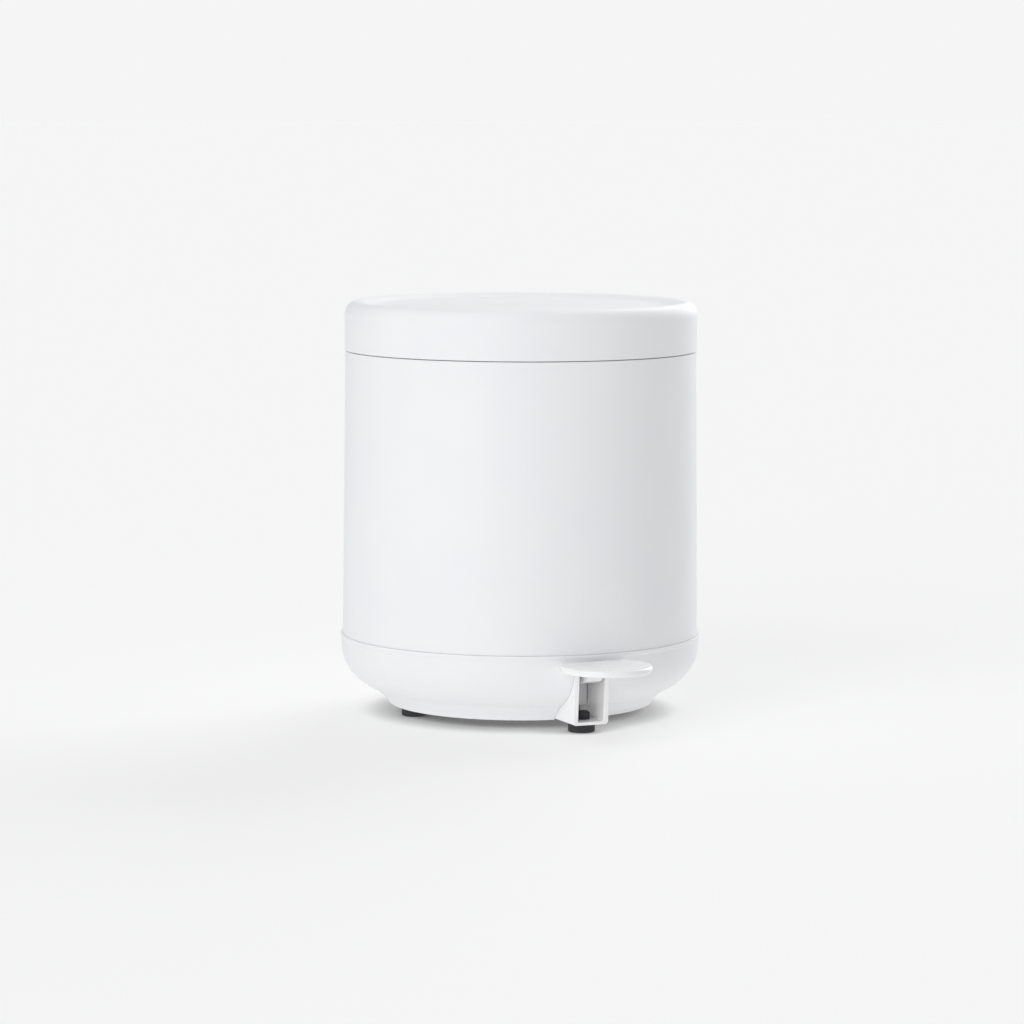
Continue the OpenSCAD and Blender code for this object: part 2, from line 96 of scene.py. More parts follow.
def rounded(points, radii, steps=5):
    """Open outline with its inner corners rounded. Each corner becomes an arc that touches both of its
    sides, starting radius / tan(half the corner's angle) from it, but no more than 45% of a side, and
    the arc's points are its centre plus the radius turned evenly from one touching point to the other."""
    points = [np.array(p, float) for p in points]
    radii = np.broadcast_to(radii, len(points))
    out = [points[0]]
    for before, corner, after, radius in zip(points, points[1:], points[2:], radii[1:]):
        a, b = before - corner, after - corner
        len_a, len_b = np.linalg.norm(a), np.linalg.norm(b)
        a, b = a / len_a, b / len_b
        half = math.acos(np.clip(a @ b, -1, 1)) / 2
        if radius <= 0 or half > math.radians(89):
            out.append(corner)
            continue
        reach = min(radius / math.tan(half), 0.45 * len_a, 0.45 * len_b)
        true_radius = reach * math.tan(half)
        centre = corner + (a + b) / np.linalg.norm(a + b) * true_radius / math.sin(half)
        start, end = corner + a * reach - centre, corner + b * reach - centre
        turn = math.pi - 2 * half
        t = np.linspace(0, 1, steps + 1)[:, None]
        out.extend(centre + (np.sin((1 - t) * turn) * start + np.sin(t * turn) * end) / math.sin(turn))
    out.append(points[-1])
    return np.array(out)


def closed_rounded(points, radii, steps=5):
    """Closed outline with all its corners rounded: it is opened in the middle of its last side."""
    points = [np.array(p, float) for p in points]
    middle = (points[-1] + points[0]) / 2
    radii = list(np.broadcast_to(radii, len(points)))
    return rounded([middle, *points, middle], [0, *radii, 0], steps)[:-1]


def spaced(points, count):
    """The given number of points at even steps of length along an open outline."""
    points = np.asarray(points, float)
    along = np.concatenate([[0], np.cumsum(np.linalg.norm(np.diff(points, axis=0), axis=1))])
    at = np.linspace(0, along[-1], count)
    return np.stack([np.interp(at, along, points[:, k]) for k in range(points.shape[1])], -1)


def ellipse(centre, half_axes, degrees):
    """Points on an ellipse at the given angles: centre + (a cos t, b sin t)."""
    t = np.radians(degrees)
    return np.stack([centre[0] + half_axes[0] * np.cos(t), centre[1] + half_axes[1] * np.sin(t)], -1)


# ---- surfaces: each gives its points and a list of face arrays ----

def grid(rows, columns, wrap_rows):
    """Quads of a grid numbered row by row, whose last column joins the first."""
    r = np.arange(rows if wrap_rows else rows - 1)[:, None]
    c = np.arange(columns)[None, :]
    next_r, next_c = (r + 1) % rows, (c + 1) % columns
    corners = [r * columns + c, r * columns + next_c, next_r * columns + next_c, next_r * columns + c]
    return np.stack([np.broadcast_to(k, (r.size, c.size)) for k in corners], -1).reshape(-1, 4)


def turned(outline, centre=(0, 0), closed=False, around=AROUND):
    """Surface of revolution: at angle t the outline's point (r, z) goes to (r sin t, -r cos t, z)
    from the centre. A closed outline makes a ring, an open one starts and ends on the axis."""
    outline = np.asarray(outline, float)
    t = np.linspace(0, 2 * math.pi, around, endpoint=False)[None, :]
    r, z = outline[:, 0][:, None], outline[:, 1][:, None]
    points = np.stack([centre[0] + r * np.sin(t), centre[1] - r * np.cos(t), z + 0 * t], -1)
    return points.reshape(-1, 3), [grid(len(outline), around, closed)]


def notched(outer, inner, half_width, rows, side, around=AROUND):
    """Turned wall with a notch through it. outer and inner are matched outlines (r, z) of the wall's two
    sides. A column's angle from the notch's middle is u * asin(half_width / r) up to the notch's edge, at
    u = 1, and spreads evenly over the rest, so that the edge stays upright. side is -1 for a notch in the
    front and 1 for one in the back. The wall is closed along each edge that the notch leaves."""
    count, inside = len(outer), 8
    half = around // 2
    u = np.concatenate([np.linspace(0, 1, inside + 1), np.linspace(1, 2, half - inside + 1)[1:]])

    def wall_side(outline):
        r, z = np.asarray(outline, float).T[:, :, None]
        edge = np.arcsin(np.clip(half_width / np.maximum(r, 1e-6), 0, 1))
        t = np.where(u <= 1, edge * u, edge + (math.pi - edge) * (u - 1))
        t = np.concatenate([t, -t[:, -2:0:-1]], 1)
        return np.stack([r * np.sin(t), side * r * np.cos(t), z + 0 * t], -1).reshape(-1, 3)

    columns = 2 * half
    a = np.arange(count * columns).reshape(count, columns)
    b = a + count * columns
    a_next, b_next = np.roll(a, -1, 1), np.roll(b, -1, 1)
    kept = np.ones((count - 1, columns), bool)
    kept[rows[0]:rows[1], :inside] = False
    kept[rows[0]:rows[1], -inside:] = False
    row_of_none = np.zeros((1, columns), bool)
    over, under = np.concatenate([row_of_none, kept]), np.concatenate([kept, row_of_none])
    level = over != under
    level[-1] = False
    upright = kept != np.roll(kept, 1, 1)
    faces = [
        np.stack([a[:-1], a_next[:-1], a_next[1:], a[1:]], -1)[kept],
        np.stack([b[:-1], b[1:], b_next[1:], b_next[:-1]], -1)[kept],
        np.stack([a, b, b_next, a_next], -1)[level],
        np.stack([a[:-1], a[1:], b[1:], b[:-1]], -1)[upright],
    ]
    return np.concatenate([wall_side(outer), wall_side(inner)]), faces


def slab(outline, low, high, edge, across=(0, 1, 2)):
    """Flat piece with rounded edges. Its closed outline moves inwards along its own normals by
    edge (1 - sin a) while the height rises by edge (1 - cos a), and each flat side shrinks to its middle.
    across says which of x, y and z the outline's two directions and the height are."""
    outline = np.asarray(outline, float)
    along = np.roll(outline, -1, 0) - np.roll(outline, 1, 0)
    along /= np.linalg.norm(along, axis=1)[:, None]
    normal = np.stack([along[:, 1], -along[:, 0]], -1)
    x, y = outline.T
    if np.sum(x * np.roll(y, -1) - y * np.roll(x, -1)) < 0:
        normal = -normal
    a = np.radians([0, 18, 36, 54, 72, 90])
    inset, rise = edge * (1 - np.sin(a)), edge * (1 - np.cos(a))
    shrink = np.array([0, 0.35, 0.7, 0.9])
    flat = outline - normal * edge
    middle = flat.mean(0)
    rows = [middle + (flat - middle) * s for s in shrink] + [outline - normal * d for d in inset]
    heights = [0.0] * len(shrink) + list(rise)
    plane = np.array(rows + rows[::-1])
    heights = np.array([low + h for h in heights] + [high - h for h in heights[::-1]])
    points = np.zeros((*plane.shape[:2], 3))
    points[..., across[0]], points[..., across[1]] = plane[..., 0], plane[..., 1]
    points[..., across[2]] = heights[:, None]
    return points.reshape(-1, 3), [grid(len(plane), len(outline), False)]


def tube(path, radii, around=24):
    """Round bar along a level path: at each of its points the circle radius (cos t across the path,
    sin t upwards). It is closed by shrinking to a point at both ends."""
    path = np.asarray(path, float)
    along = np.gradient(path[:, :2], axis=0)
    along /= np.linalg.norm(along, axis=1)[:, None]
    cross = np.stack([along[:, 1], -along[:, 0], np.zeros(len(path))], -1)
    t = np.linspace(0, 2 * math.pi, around, endpoint=False)[None, :, None]
    radii = np.broadcast_to(radii, len(path))[:, None, None]
    circles = path[:, None] + radii * (np.cos(t) * cross[:, None] + np.sin(t) * np.array([0, 0, 1.0]))
    ends = [np.repeat(path[k][None, None], around, 1) for k in (0, -1)]
    points = np.concatenate([ends[0], circles, ends[1]])
    return points.reshape(-1, 3), [grid(len(points), around, False)]


# ---- making pieces ----

def piece(name, parts, finish, body, slot, replaced, bevel=0):
    """Mesh object of several parts, put into the frame in metres on its body, for the replaced nodes."""
    vertices, faces, start = [], [], 0
    for points, face_sets in parts:
        vertices.append(points * MM + [0, AXIS_Y * MM, 0])
        for face_set in face_sets:
            faces.extend((face_set + start).tolist())
        start += len(points)
    mesh = bpy.data.meshes.new(name)
    mesh.from_pydata(np.concatenate(vertices), [], faces)
    return finished(name, mesh, finish, body, slot, replaced, bevel)


def eased(node, finish, body, slot, width):
    """Copy of a CAD node's mesh, merged, with its flat faces made whole and its edges rounded."""
    mesh = frame["nodes"][node].data.copy()
    mesh.name = node + "_eased"
    return finished(node + "_eased", mesh, finish, body, slot, [node], width)


def finished(name, mesh, finish, body, slot, replaced, bevel):
    """Merges doubled points, rounds sharp edges by the bevel in millimetres, and evens out the shading."""
    edit = bmesh.new()
    edit.from_mesh(mesh)
    bmesh.ops.remove_doubles(edit, verts=edit.verts, dist=2e-6)
    if bevel:
        bmesh.ops.dissolve_limit(edit, angle_limit=math.radians(0.5), verts=edit.verts, edges=edit.edges)
    else:
        bmesh.ops.recalc_face_normals(edit, faces=edit.faces)
        if edit.calc_volume(signed=True) < 0:
            bmesh.ops.reverse_faces(edit, faces=edit.faces)
    edit.to_mesh(mesh)
    edit.free()
    mesh.shade_smooth()
    mesh.set_sharp_from_angle(angle=math.radians(38))
    mesh.materials.clear()
    mesh.materials.append(finish)
    made = bpy.data.objects.new(name, mesh)
    bpy.context.scene.collection.objects.link(made)
    if bevel:
        rounding = made.modifiers.new("eased_edges", "BEVEL")
        rounding.width = bevel * MM
        rounding.segments = 2
        rounding.limit_method = "ANGLE"
        rounding.angle_limit = math.radians(38)
        rounding.harden_normals = True
    shading = made.modifiers.new("even_shading", "WEIGHTED_NORMAL")
    shading.keep_sharp = True
    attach(made, body)
    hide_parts(*replaced)
    return made


# ---- materials ----

def linear(hex_colour):
    """sRGB hex colour as linear RGBA."""
    parts = [int(hex_colour[i:i + 2], 16) / 255 for i in (1, 3, 5)]
    return [c / 12.92 if c <= 0.04045 else ((c + 0.055) / 1.055) ** 2.4 for c in parts] + [1.0]


def per_mm(size):
    """Noise scale, on coordinates in metres, whose features are about this many millimetres across."""
    return 1000 / size


def add(tree, kind, inputs=None, **settings):
    """Adds a node. inputs maps a socket's name or number to a value, or to (node, output) for a link."""
    made = tree.nodes.new("ShaderNode" + kind)
    for key, value in settings.items():
        setattr(made, key, value)
    for socket, value in (inputs or {}).items():
        if isinstance(value, tuple) and isinstance(value[0], bpy.types.Node):
            tree.links.new(value[0].outputs[value[1]], made.inputs[socket])
        else:
            made.inputs[socket].default_value = value
    return made


def material(name, pattern, **shader):
    """Material whose pattern adds its nodes and returns what it links to the shader. shader holds the
    values that are the same all over the surface."""
    made = bpy.data.materials.new(name)
    made.use_nodes = True
    tree = made.node_tree
    tree.nodes.clear()
    place = add(tree, "TexCoord")
    even = {key.replace("_", " "): value for key, value in shader.items()}
    bsdf = add(tree, "BsdfPrincipled", {**even, **pattern(tree, (place, "Object"))})
    add(tree, "OutputMaterial", {"Surface": (bsdf, "BSDF")})
    return made


def blend_of(tree, factor, dark, light, low=0.35, high=0.65):
    """Colour ramp between two close colours."""
    ramp = add(tree, "ValToRGB", {"Fac": factor})
    ramp.color_ramp.elements[0].position, ramp.color_ramp.elements[1].position = low, high
    ramp.color_ramp.elements[0].color, ramp.color_ramp.elements[1].color = linear(dark), linear(light)
    return ramp


def plastic(light, dark, rough, grain_mm, depth_mm, mottle_mm=45, smudge_mm=9):
    """Moulded or sprayed plastic: a slow drift between two close colours, a roughness that wanders where
    hands have been, and a fine even grain in the surface."""
    def pattern(tree, place):
        mottle = add(tree, "TexNoise", {"Vector": place, "Scale": per_mm(mottle_mm), "Detail": 3})
        colour = blend_of(tree, (mottle, "Fac"), dark, light)
        smudge = add(tree, "TexNoise", {"Vector": place, "Scale": per_mm(smudge_mm), "Detail": 5})
        shine = add(tree, "MapRange", {"Value": (smudge, "Fac"), "From Min": 0.3, "From Max": 0.7,
                                       "To Min": rough[0], "To Max": rough[1]})
        grain = add(tree, "TexNoise", {"Vector": place, "Scale": per_mm(grain_mm), "Detail": 2})
        bump = add(tree, "Bump", {"Height": (grain, "Fac"), "Strength": 0.5, "Distance": depth_mm * MM})
        return {"Base Color": (colour, "Color"), "Roughness": (shine, "Result"), "Normal": (bump, "Normal")}
    return pattern


def plated(light, dark, rough):
    """Bright plated steel: a cloudy tone, and fine drawn lines along X."""
    def pattern(tree, place):
        cloud = add(tree, "TexNoise", {"Vector": place, "Scale": per_mm(2.5), "Detail": 4})
        colour = blend_of(tree, (cloud, "Fac"), dark, light)
        along = add(tree, "Mapping", {"Vector": place, "Scale": (1, 6, 6)})
        lines = add(tree, "TexNoise", {"Vector": (along, "Vector"), "Scale": per_mm(0.8), "Detail": 3})
        shine = add(tree, "MapRange", {"Value": (lines, "Fac"), "To Min": rough[0], "To Max": rough[1]})
        bump = add(tree, "Bump", {"Height": (lines, "Fac"), "Strength": 0.3, "Distance": 0.01 * MM})
        return {"Base Color": (colour, "Color"), "Roughness": (shine, "Result"), "Normal": (bump, "Normal")}
    return pattern


# Soft-touch paint sprayed over ABS: a cool matte white that spreads every highlight wide
soft_touch = material(
    "soft_touch_painted_abs",
    plastic("#f7f8f9", "#f5f6f8", (0.47, 0.53), grain_mm=0.5, depth_mm=0.012),
    Specular_IOR_Level=0.35, Sheen_Weight=0.03, Sheen_Roughness=0.4)
# ABS from a polished mould: brighter and shiny, with scuffs from shoes and fingers
gloss_abs = material(
    "polished_abs",
    plastic("#fcfcfc", "#fafafb", (0.2, 0.26), grain_mm=2.5, depth_mm=0.003, smudge_mm=6),
    Coat_Weight=0.3, Coat_Roughness=0.08)
# ABS from a spark-eroded mould: the matt inside parts that nobody polishes
plain_abs = material(
    "spark_textured_abs",
    plastic("#eeeeee", "#e7e8e9", (0.42, 0.55), grain_mm=0.35, depth_mm=0.03))
# Unpigmented acetal: waxy, slightly warm, and light goes a little way into it
acetal = material(
    "natural_acetal",
    plastic("#e9e7de", "#e0ded3", (0.32, 0.42), grain_mm=0.8, depth_mm=0.01),
    Subsurface_Weight=0.15, Subsurface_Scale=0.002)
# Polypropylene from a plain mould: pale grey with a slightly greasy shine, dulled by bags
polypropylene = material(
    "moulded_polypropylene",
    plastic("#c3c6c9", "#b9bcc0", (0.34, 0.5), grain_mm=0.6, depth_mm=0.02, smudge_mm=14))
# Moulded nitrile rubber: near black and dry, with a bloom that comes and goes
rubber = material(
    "moulded_nitrile_rubber",
    plastic("#333337", "#26262a", (0.55, 0.75), grain_mm=0.4, depth_mm=0.05, mottle_mm=6, smudge_mm=3))
# Glass-filled nylon: black with a satin skin
black_nylon = material(
    "moulded_black_nylon",
    plastic("#2a2a2c", "#1f1f21", (0.4, 0.5), grain_mm=0.5, depth_mm=0.02))
# Steel wire and screws under bright zinc
zinc_steel = material("zinc_plated_steel", plated("#c9ccd0", "#a8acb2", (0.22, 0.38)), Metallic=1.0)

FINISHES = {
    "soft_touch_white": soft_touch, "gloss_white": gloss_abs, "moulded_white": plain_abs,
    "natural_acetal": acetal, "black_rubber": rubber, "black_plastic": black_nylon,
    "zinc_steel": zinc_steel, "bucket_grey": polypropylene,
}


# ---- lid, shell and base ----

SHOULDER_W, SHOULDER_H = 6.5, 7.4
DISH, DISH_W = 2.2, 14.0
LID_NOTCH_HALF = 22.0
# Rounding of the edges that face each other across a seam
SEAM_EDGE = 0.12
LID_NOTCH_TOP = HINGE[2] + 4.8


def lid_side(inset):
    """One side of the lid's wall, as (r, z) from the skirt's edge to the middle: straight up, a quarter
    ellipse over the shoulder, half a cosine down into the dish, and level to the axis."""
    crest_r, top = LID_R - SHOULDER_W, LID_TOP - inset
    a = np.radians([0, 30, 60, 90])
    foot = np.stack([LID_R - inset - (1 if inset == 0 else -1) * SEAM_EDGE * (1 - np.sin(a)),
                     LID_SKIRT + SEAM_EDGE * (1 - np.cos(a))], -1)
    skirt = [[LID_R - inset, z] for z in (LID_SKIRT + 3, LID_NOTCH_TOP)]
    shoulder = ellipse((crest_r, LID_TOP - SHOULDER_H), (SHOULDER_W - inset, SHOULDER_H - inset),
                       np.linspace(0, 90, 22))
    t = np.linspace(0, 1, 26)[1:]
    dish = np.stack([crest_r - DISH_W * t, top - DISH * (1 - np.cos(math.pi * t)) / 2], -1)
    level = [[r, top - DISH] for r in (60, 40, 20, 0)]
    return np.concatenate([foot, skirt, shoulder, dish, level])


def make_lid():
    """Cover of the lid, with a notch in its back for the hinge."""
    wall = notched(lid_side(0), lid_side(WALL), LID_NOTCH_HALF, (0, 5), 1)
    return piece("lid_cover", [wall], soft_touch, "lid", "soft_touch_white", ["lid_shell"])


def make_shell():
    """Tall sleeve that narrows a little upwards, turned from one closed outline with eased edges."""
    low, high = SHELL_LOW[2], SHELL_HIGH[2]
    outline = closed_rounded([[SHELL_R_LOW - WALL, low], [SHELL_R_LOW, low],
                              [SHELL_R_TOP, high], [SHELL_R_TOP - WALL, high]], SEAM_EDGE)
    return piece("shell_sleeve", [turned(outline, closed=True)], soft_touch, "housing", "soft_touch_white",
                 ["body_shell"])


ARC_W, ARC_H, ARC_END = 31.5, 26.9, 66
ARC_Z = BOWL_H - 6.1
RING_R = 73.7
SLOT_HALF = CHANNEL_HIGH[0] + 0.15
SLOT_TOP = CHANNEL_HIGH[2] + 0.2
SPIGOT_R = SHELL_R_LOW - WALL - 0.4


def bowl_side(inset):
    """One side of the bowl's wall, as (r, z) from the foot ring up: the ring's cone, a quarter ellipse cut
    short, a straight side with its bead, and the spigot. Both sides get the same number of points, and
    one of them is at the slot's top."""
    slot_angle = -math.degrees(math.asin((ARC_Z - SLOT_TOP) / (ARC_H - inset)))
    # The outer side's first few degrees make room for the soft crease above the ring
    start = ARC_END if inset else ARC_END - 9
    angles = np.concatenate([np.linspace(-start, slot_angle, 40), np.linspace(slot_angle, 0, 5)[1:]])
    arc = ellipse((BOWL_R - ARC_W, ARC_Z), (ARC_W - inset, ARC_H - inset), angles)
    if inset:
        ring = [[RING_R - WALL, BOWL_LOW[2]], [RING_R - WALL + 0.6, BOWL_LOW[2] + 5], arc[0]]
        top = [[BOWL_R - WALL, ARC_Z + 0.3], [SPIGOT_R - 2, BOWL_H - 1], [SPIGOT_R - 2, BOWL_HIGH[2]]]
    else:
        crease = ellipse((BOWL_R - ARC_W, ARC_Z), (ARC_W, ARC_H), [-ARC_END])[0]
        low = BOWL_LOW[2]
        ring = rounded([[RING_R - 0.4, low], [RING_R, low], [RING_R + 1.2, low + 2.2], crease, arc[0]],
                       [0, 0.4, 3, 5, 0], 8)
        top = rounded([[BOWL_R, ARC_Z + 0.3], [BOWL_R, BOWL_H - 2.4], [BEAD_R, BOWL_H - 1.5],
                       [BEAD_R, BOWL_H], [SPIGOT_R, BOWL_H], [SPIGOT_R, BOWL_HIGH[2]]],
                      [0, 2, 2, SEAM_EDGE, 0.1, 0])
    return [np.asarray(ring), arc, np.asarray(top)]


def make_bowl():
    """Lower casing, with the slot for the pedal's channel and the spigot that the sleeve sits on."""
    outer, inner = bowl_side(0), bowl_side(WALL)
    inner[0] = spaced(inner[0], len(outer[0]))
    inner[2] = spaced(inner[2], len(outer[2]))
    slot_row = len(outer[0]) - 1 + 39
    join = [np.concatenate([side[0][:-1], side[1], side[2]]) for side in (outer, inner)]
    return piece("base_casing", [notched(*join, SLOT_HALF, (0, slot_row), -1)], soft_touch, "housing",
                 "soft_touch_white", ["base_bowl"])


# ---- pedal, channel and feet ----

PEDAL_T = 3.5
NECK_HALF = 4.5
SHUTTER_HALF, SHUTTER_TOP = 7.05, 30.5
SHUTTER_FRONT, SHUTTER_BACK = -77.3, -74.8


def make_pedal():
    """Round foot plate whose back edge is hollow to follow the casing, the neck under it, and the
    shutter on the neck that closes the gap behind it."""
    hollow_r = BOWL_R + 1.4
    # Where the plate's edge and the hollow edge cross
    y = -(PEDAL_Y**2 + hollow_r**2 - PEDAL_R**2) / (2 * abs(PEDAL_Y))
    x = math.sqrt(hollow_r**2 - y**2)
    start = math.degrees(math.atan2(y - PEDAL_Y, x))
    front = ellipse((0, PEDAL_Y), (PEDAL_R, PEDAL_R), np.linspace(start, -180 - start, 120))
    tip = math.degrees(math.atan2(x, -y))
    back = ellipse((0, 0), (hollow_r, hollow_r), np.linspace(-90 - tip, -90 + tip, 26))
    outline = np.concatenate([front[2:-2], rounded([front[-2], front[-1], back[2]], 1.2, 4)[1:-1],
                              back[2:-2], rounded([back[-3], front[0], front[2]], 1.2, 4)[1:-1]])
    under = PEDAL_HIGH[2] - PEDAL_T
    plate = slab(outline, under, PEDAL_HIGH[2], 1.1)
    side = closed_rounded(
        [[-110, under + 0.1], [-108, under - 3], [-102, 29.6], [-97, 28.2], [-84, 26], [-70, 23.6],
         [-70, 30], [-88, 33.2], [-98, 34.2], [-100.7, 34.6], [-101.8, under - 0.2],
         [-102.4, under + 0.4]], 0.8, 3)
    neck = slab(side, -NECK_HALF, NECK_HALF, 0.6, across=(1, 2, 0))
    wide, low, top = SHUTTER_HALF, PEDAL_LOW[2], SHUTTER_TOP
    shutter = slab(closed_rounded([[-wide, low], [wide, low], [wide, top], [-wide, top]], 1.0, 4),
                   SHUTTER_FRONT, SHUTTER_BACK, 0.4, across=(0, 2, 1))
    return piece("foot_pedal", [plate, neck, shutter], gloss_abs, "pedal", "gloss_white", ["pedal_plate"])


CHANNEL_WALL, CHANNEL_FLOOR = 3, 1.8
CHANNEL_LEAN = 2
FLOOR_BACK, REAR_WALL = -78.5, -71.5
LEVER_GAP, LEVER_SILL = 5.7, 2


def make_channel():
    """Gutter that the pedal's neck moves in. A rounded strip of (across the wall, along Y) is carried
    along the U of its walls and floor, its front edge leans out to meet the casing's side, the floor
    stops short for the shutter, and each end of the U shrinks over a rounded rim. A wall with a gap for
    the lever closes its back."""
    half, low, high = CHANNEL_HIGH[0], CHANNEL_LOW[2], CHANNEL_HIGH[2]
    inner_half, floor, rim = half - CHANNEL_WALL, low + CHANNEL_FLOOR, 0.5
    back = CHANNEL_HIGH[1]
    low_front = -BOWL_R + CHANNEL_LEAN
    sides = []
    for width, level, corner in ((half, low, 2.0), (inner_half, floor, 0.6)):
        u = rounded([[-width, high], [-width, level], [width, level], [width, high]], corner, 8)
        left, right = spaced(u[:2], 12), spaced(u[-2:], 12)
        sides.append(np.concatenate([left[:-1], u[1:-1], right[1:]]))
    outer, inner = sides
    last = len(outer) - 1
    a = np.radians([0, 30, 60, 90])
    ends = list(zip(rim * (1 - np.sin(a)), rim * (1 - np.cos(a))))
    stations = [(0, *end) for end in ends] + [(k, 0, 0) for k in range(1, last)]
    stations += [(last, *end) for end in ends[::-1]]
    sections = []
    for k, inset, drop in stations:
        thick = np.linalg.norm(inner[k] - outer[k])
        across = (inner[k] - outer[k]) / thick
        height = outer[k][1] - drop
        front = low_front - CHANNEL_LEAN * np.clip((height - low) / (high - 1.5 - low), 0, 1)
        rear = FLOOR_BACK if abs(inner[k][0]) < inner_half - 0.3 else back
        strip = closed_rounded([[inset, front + inset], [thick - inset, front + inset],
                                [thick - inset, rear - inset], [inset, rear - inset]],
                               max(rim - inset, 0.02), 4)
        sections.append(np.stack([outer[k][0] + across[0] * strip[:, 0], strip[:, 1],
                                  outer[k][1] + across[1] * strip[:, 0] - drop], -1))
    sections = np.array(sections)
    caps = [np.repeat(sections[k].mean(0)[None, None], sections.shape[1], 1) for k in (0, -1)]
    points = np.concatenate([caps[0], sections, caps[1]])
    gutter = points.reshape(-1, 3), [grid(len(points), sections.shape[1], False)]

    into, end = inner_half + 1, back - 0.2
    walls = [(-into, -LEVER_GAP, high - 0.1), (LEVER_GAP, into, high - 0.1),
             (-into, into, floor + LEVER_SILL)]
    rear = []
    for left, right, top in walls:
        plan = closed_rounded([[left, REAR_WALL], [right, REAR_WALL], [right, end], [left, end]], 0.4, 3)
        rear.append(slab(plan, low + 0.3, top, 0.4))
    return piece("pedal_gutter", [gutter, *rear], gloss_abs, "housing", "gloss_white", ["pedal_channel"])


def foot_outline(pad_r, pad_h, head_low, head_high, head_r, head_edge):
    """Half outline of a foot: a pad with a slightly hollow underside, a stem, and the head over it."""
    return rounded(
        [[0, 0.3], [pad_r - 2.5, 0.3], [pad_r - 2.2, 0], [pad_r, 0], [pad_r, pad_h], [3, pad_h],
         [3, head_low], [head_r, head_low], [head_r, head_high], [0, head_high]],
        [0, 0.2, 0.2, 0.9, 0.5, 0.1, 0.1, 0.4, head_edge, 0], 4)


def make_feet():
    """Three plain feet in the base plate and the taller front one in the gutter's floor."""
    ring = 64.0
    spots = [(ring, 0), (0, ring), (-ring, 0)]
    plain = foot_outline(7, FEET_HIGH[2] - 4.45, FEET_HIGH[2] - 1.95, FEET_HIGH[2], 4.2, 1.0)
    piece("plain_feet", [turned(plain, spot, around=64) for spot in spots], rubber, "housing",
          "black_rubber", ["rubber_feet"])
    front_y = (FRONT_FOOT_LOW[1] + FRONT_FOOT_HIGH[1]) / 2
    front = foot_outline(7.4, CHANNEL_LOW[2] - 0.05, CHANNEL_LOW[2] + 1.85, FRONT_FOOT_HIGH[2], 4.5, 1.5)
    piece("gutter_foot", [turned(front, (0, front_y), around=96)], rubber, "housing", "black_rubber",
          ["front_foot"])


# ---- bucket and its handle ----

def make_handle():
    """Wire half ring whose ends turn outwards into the bucket's wall, and the sleeve on its middle."""
    wire_r, reach = 1.5, node_box("bail_handle")[1][0]
    ring_r = 72.8
    bow = ellipse(BAIL[:2], (ring_r, ring_r), np.linspace(-4, -176, 96))
    flat = np.concatenate([
        rounded([[reach, BAIL[1]], [ring_r, BAIL[1]], bow[0]], 2.4, 6), bow[1:-1],
        rounded([bow[-1], [-ring_r, BAIL[1]], [-reach, BAIL[1]]], 2.4, 6)])
    path = np.column_stack([flat, np.full(len(flat), BAIL[2])])
    piece("wire_handle", [tube(path, wire_r)], zinc_steel, "bail", "zinc_steel", ["bail_handle"])
    span = np.linspace(0, 1, 49)
    arc = ellipse(BAIL[:2], (ring_r, ring_r), -120 + 60 * span)
    along = span * math.radians(60) * ring_r
    from_end = np.minimum(along, along[-1] - along)
    thick = (GRIP_HIGH[2] - GRIP_LOW[2]) / 2
    easing = np.clip(from_end / 1.6, 0, 1)
    end_drop = 1.0 * (1 - np.sqrt(1 - (1 - easing) ** 2))
    ribs = 0.12 * (1 - np.cos(along * math.pi / 2)) / 2
    radius = thick - end_drop - ribs
    sleeve = np.column_stack([arc, np.full(len(arc), BAIL[2])])
    piece("handle_sleeve", [tube(sleeve, radius, 32)], gloss_abs, "bail", "gloss_white", ["bail_grip"])


# Width of the rounded edges on the other moulded and pressed pieces, in millimetres
EASED = {
    "lid_liner": 0.5, "lid_hinge_arm": 0.5, "rim_collar": 0.5, "hinge_bracket": 0.5, "base_plate": 0.4,
    "pivot_caps": 0.5, "rod_guides": 0.5, "damper_clip": 0.5, "pedal_lever": 0.6, "push_rod": 0.4,
    "damper_cylinder": 0.6, "lid_bumpers": 0.3, "inner_bucket": 0.4, "horn_pin": 0.2, "hinge_pin": 0.2,
    "pedal_pin": 0.3, "lid_screws": 0.15, "hinge_screws": 0.15, "base_screws": 0.15, "pivot_screws": 0.12,
    "pedal_screws": 0.12, "damper_plunger": 0.2,
}


def make_eased():
    """Rounds the edges of every other node, in the finish that the record gives it."""
    slots = {row["node"]: row["material_slot"] for row in frame["record"]["subparts"]}
    bodies = {n: body for body, nodes in frame["record"]["behaviour"]["bodies"].items() for n in nodes}
    for node, width in EASED.items():
        eased(node, FINISHES[slots[node]], bodies[node], slots[node], width)


# ---- camera, lights and floor ----

VIEW_AZIMUTH = -23.0


def toward(azimuth, elevation):
    """Direction from the bin, where azimuth 0 is the camera's side and it grows to the camera's right."""
    a, e = math.radians(VIEW_AZIMUTH + azimuth), math.radians(elevation)
    return Vector((math.sin(a) * math.cos(e), -math.cos(a) * math.cos(e), math.sin(e)))


def make_camera():
    """Long lens a little above the lid, with the pedal to the right of the middle."""
    data = bpy.data.cameras.new("camera")
    data.lens, data.sensor_width = 141.7, 36
    data.clip_start, data.clip_end = 0.05, 60
    camera = bpy.data.objects.new("camera", data)
    bpy.context.scene.collection.objects.link(camera)
    away, height, pitch, yaw, roll = 2.2475, 0.3528, 6.13, 0.122, 0.17
    place = toward(0, 0) * away + Vector((0, AXIS_Y * MM, height))
    camera.matrix_world = (
        Matrix.Translation(place) @ Matrix.Rotation(math.radians(VIEW_AZIMUTH + yaw), 4, "Z")
        @ Matrix.Rotation(math.radians(90 - pitch), 4, "X") @ Matrix.Rotation(math.radians(roll), 4, "Z"))
    bpy.context.scene.camera = camera


